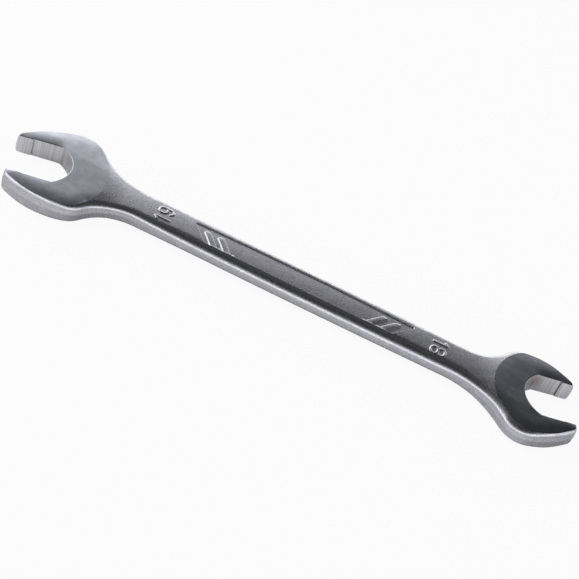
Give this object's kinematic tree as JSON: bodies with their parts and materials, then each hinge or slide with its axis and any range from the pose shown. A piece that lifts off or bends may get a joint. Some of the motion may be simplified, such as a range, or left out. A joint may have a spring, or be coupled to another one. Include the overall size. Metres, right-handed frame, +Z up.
{
  "type": "double open end wrench",
  "caption": "Double open end wrench, forged in one piece, with a 19 mm and an 18 mm opening turned 15 degrees from a rounded shank with a sunk panel on each face.",
  "frame": {"origin": "on the plane the wrench lies on, at the middle of its length and width", "axes": "+X along the shank from the large head to the small head, +Z up out of the plane it lies on, +Y towards the far side of the picture"},
  "size_m": [0.2097, 0.0397, 0.0077],
  "materials": {
    "satin_chrome": "satin chrome plate over forged, ground and broached steel"
  },
  "bodies": {
    "root": {"wrench_forging": "satin_chrome"}
  },
  "joints": []
}
